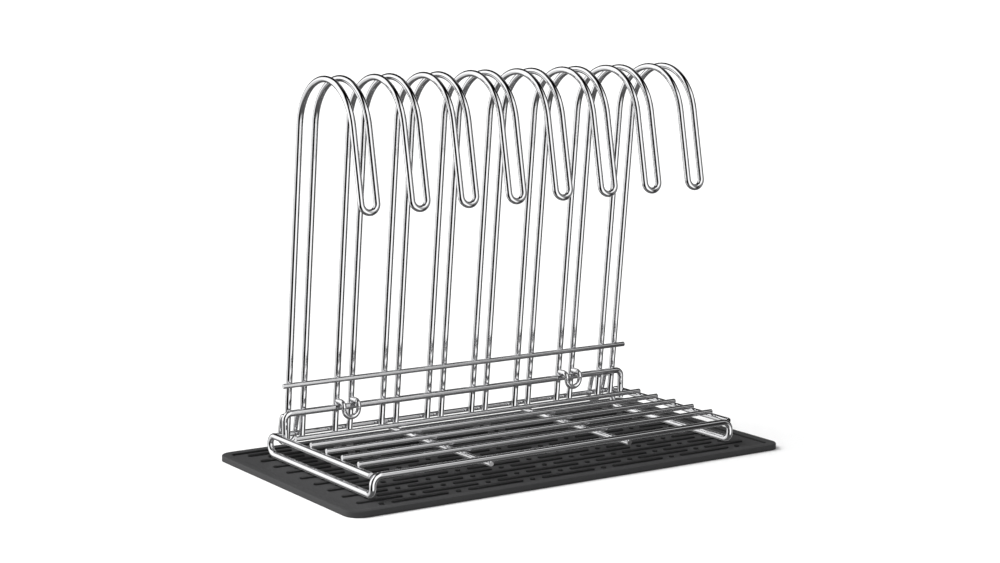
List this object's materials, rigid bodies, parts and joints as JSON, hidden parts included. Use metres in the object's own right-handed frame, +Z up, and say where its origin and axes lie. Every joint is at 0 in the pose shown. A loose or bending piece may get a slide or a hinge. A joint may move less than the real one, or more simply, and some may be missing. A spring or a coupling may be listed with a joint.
{
  "type": "bag drying rack",
  "caption": "Polished wire rack for drying reusable bags: a row of tall hairpin hooks that lifts off a slatted wire base, standing on a ribbed rubber drip mat.",
  "frame": {"origin": "centre of the drip mat's underside", "axes": "+X along the row of hooks, to the right as seen from the front; +Y from the hooks' tips at the front towards their legs at the back; +Z up"},
  "size_m": [0.3894, 0.2142, 0.3009],
  "materials": {
    "polished_steel": "polished",
    "grey_rubber": "matt"
  },
  "bodies": {
    "root": {"drip_mat": "grey_rubber", "side_loop_left": "polished_steel", "side_loop_right": "polished_steel", "front_bar": "polished_steel", "rear_bar": "polished_steel", "rear_rail": "polished_steel", "slat_1": "polished_steel", "slat_2": "polished_steel", "slat_3": "polished_steel", "slat_4": "polished_steel", "slat_5": "polished_steel", "cross_rod_left": "polished_steel", "cross_rod_right": "polished_steel", "hook_1": "polished_steel", "hook_2": "polished_steel", "hook_3": "polished_steel", "hook_4": "polished_steel", "hook_5": "polished_steel", "hook_6": "polished_steel", "hook_7": "polished_steel", "hook_8": "polished_steel", "hook_bar": "polished_steel", "front_clip_left": "polished_steel", "front_clip_right": "polished_steel", "rear_clip_left": "polished_steel", "rear_clip_right": "polished_steel"}
  },
  "joints": []
}
